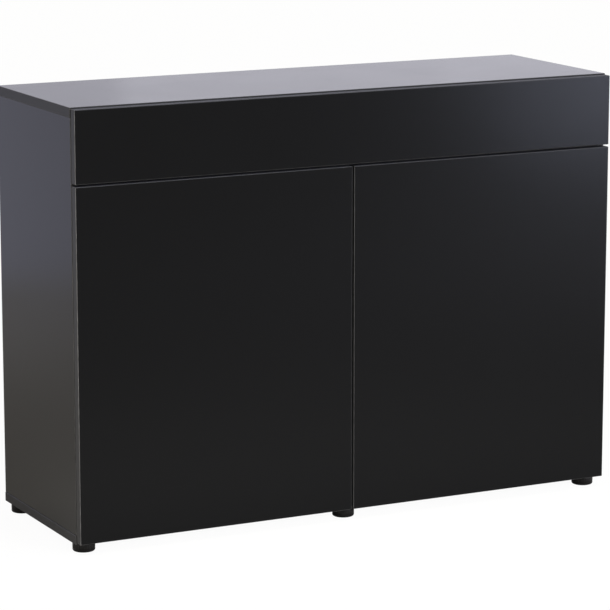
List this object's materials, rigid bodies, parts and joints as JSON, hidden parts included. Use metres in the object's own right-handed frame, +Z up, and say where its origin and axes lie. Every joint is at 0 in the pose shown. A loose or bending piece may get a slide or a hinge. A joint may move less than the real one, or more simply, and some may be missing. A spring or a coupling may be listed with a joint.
{
  "type": "aquarium stand cabinet",
  "caption": "Black laminated aquarium stand cabinet with a full-width push-to-open drawer front over handleless doors, on low round levelling feet.",
  "frame": {"origin": "on the floor, under the middle of the cabinet's box", "axes": "+X along the width, +Y from the fronts to the back, +Z up"},
  "size_m": [1.2, 0.4, 0.88],
  "materials": {
    "laminate": "satin black melamine laminate",
    "drawer_board": "matt dark grey melamine",
    "foot_plastic": "moulded black plastic",
    "fitting_plastic": "moulded black plastic",
    "beech": "fluted raw beech",
    "zinc": "bright zinc plating",
    "screw_steel": "zinc plated steel",
    "nickel": "nickel plated steel",
    "bumper": "clear soft polyurethane"
  },
  "bodies": {
    "carcass": {"top_panel": "laminate", "bottom_panel": "laminate", "left_side_panel": "laminate", "right_side_panel": "laminate", "centre_partition": "laminate", "left_back_board": "laminate", "right_back_board": "laminate", "left_rear_rail": "laminate", "right_rear_rail": "laminate", "left_divider_rail": "laminate", "right_divider_rail": "laminate", "left_shelf": "laminate", "right_shelf": "laminate", "shelf_pins": "screw_steel", "cam_locks": "zinc", "cam_bolts": "screw_steel", "dowels": "beech", "foot_inserts": "zinc", "hinge_plates": "nickel", "hinge_arms": "nickel", "hinge_plate_screws": "screw_steel", "runner_outer_members": "zinc", "runner_screws": "screw_steel", "latch_housings": "fitting_plastic"},
    "left_door": {"left_door": "laminate", "left_hinge_cups": "nickel", "left_hinge_pins": "nickel", "left_cup_screws": "screw_steel", "left_strike_plate": "nickel", "left_door_bumpers": "bumper"},
    "right_door": {"right_door": "laminate", "right_hinge_cups": "nickel", "right_hinge_pins": "nickel", "right_cup_screws": "screw_steel", "right_strike_plate": "nickel", "right_door_bumpers": "bumper"},
    "drawer": {"drawer_front": "laminate", "drawer_front_screws": "screw_steel", "runner_inner_members": "zinc", "drawer_runner_screws": "screw_steel", "left_box_outer_side": "drawer_board", "left_box_inner_side": "drawer_board", "left_box_front": "drawer_board", "left_box_back": "drawer_board", "left_box_bottom": "drawer_board", "right_box_outer_side": "drawer_board", "right_box_inner_side": "drawer_board", "right_box_front": "drawer_board", "right_box_back": "drawer_board", "right_box_bottom": "drawer_board"},
    "runner_middles": {"runner_middle_members": "zinc"},
    "left_latch": {"left_latch_plunger": "zinc"},
    "right_latch": {"right_latch_plunger": "zinc"},
    "foot_front_left": {"foot_front_left": "foot_plastic"},
    "foot_front_middle": {"foot_front_middle": "foot_plastic"},
    "foot_front_right": {"foot_front_right": "foot_plastic"},
    "foot_back_left": {"foot_back_left": "foot_plastic"},
    "foot_back_middle": {"foot_back_middle": "foot_plastic"},
    "foot_back_right": {"foot_back_right": "foot_plastic"}
  },
  "joints": [
    {"name": "left_door_hinge", "type": "hinge", "parent": "carcass", "child": "left_door", "pos_m": [-0.5929, -0.1922, 0.37575], "axis": [0, 0, -1], "range_deg": [0, 95]},
    {"name": "right_door_hinge", "type": "hinge", "parent": "carcass", "child": "right_door", "pos_m": [0.5929, -0.1922, 0.37575], "axis": [0, 0, 1], "range_deg": [0, 95]},
    {"name": "drawer_slide", "type": "slide", "parent": "carcass", "child": "drawer", "axis": [0, -1, 0], "range_m": [0, 0.28]},
    {"name": "runner_middle_slide", "type": "slide", "parent": "carcass", "child": "runner_middles", "axis": [0, -1, 0], "range_m": [0, 0.14]},
    {"name": "left_latch_push", "type": "slide", "parent": "carcass", "child": "left_latch", "axis": [0, -1, 0], "range_m": [0, 0.014]},
    {"name": "right_latch_push", "type": "slide", "parent": "carcass", "child": "right_latch", "axis": [0, -1, 0], "range_m": [0, 0.014]},
    {"name": "foot_front_left_screw", "type": "slide", "parent": "carcass", "child": "foot_front_left", "axis": [0, 0, -1], "range_m": [0, 0.01]},
    {"name": "foot_front_middle_screw", "type": "slide", "parent": "carcass", "child": "foot_front_middle", "axis": [0, 0, -1], "range_m": [0, 0.01]},
    {"name": "foot_front_right_screw", "type": "slide", "parent": "carcass", "child": "foot_front_right", "axis": [0, 0, -1], "range_m": [0, 0.01]},
    {"name": "foot_back_left_screw", "type": "slide", "parent": "carcass", "child": "foot_back_left", "axis": [0, 0, -1], "range_m": [0, 0.01]},
    {"name": "foot_back_middle_screw", "type": "slide", "parent": "carcass", "child": "foot_back_middle", "axis": [0, 0, -1], "range_m": [0, 0.01]},
    {"name": "foot_back_right_screw", "type": "slide", "parent": "carcass", "child": "foot_back_right", "axis": [0, 0, -1], "range_m": [0, 0.01]}
  ],
  "couplings": [
    {"joint": "runner_middle_slide", "follows": "drawer_slide", "ratio": 0.5},
    {"joint": "left_latch_push", "follows": "left_door_hinge", "m_per_rad": 0.008443},
    {"joint": "right_latch_push", "follows": "right_door_hinge", "m_per_rad": 0.008443}
  ]
}
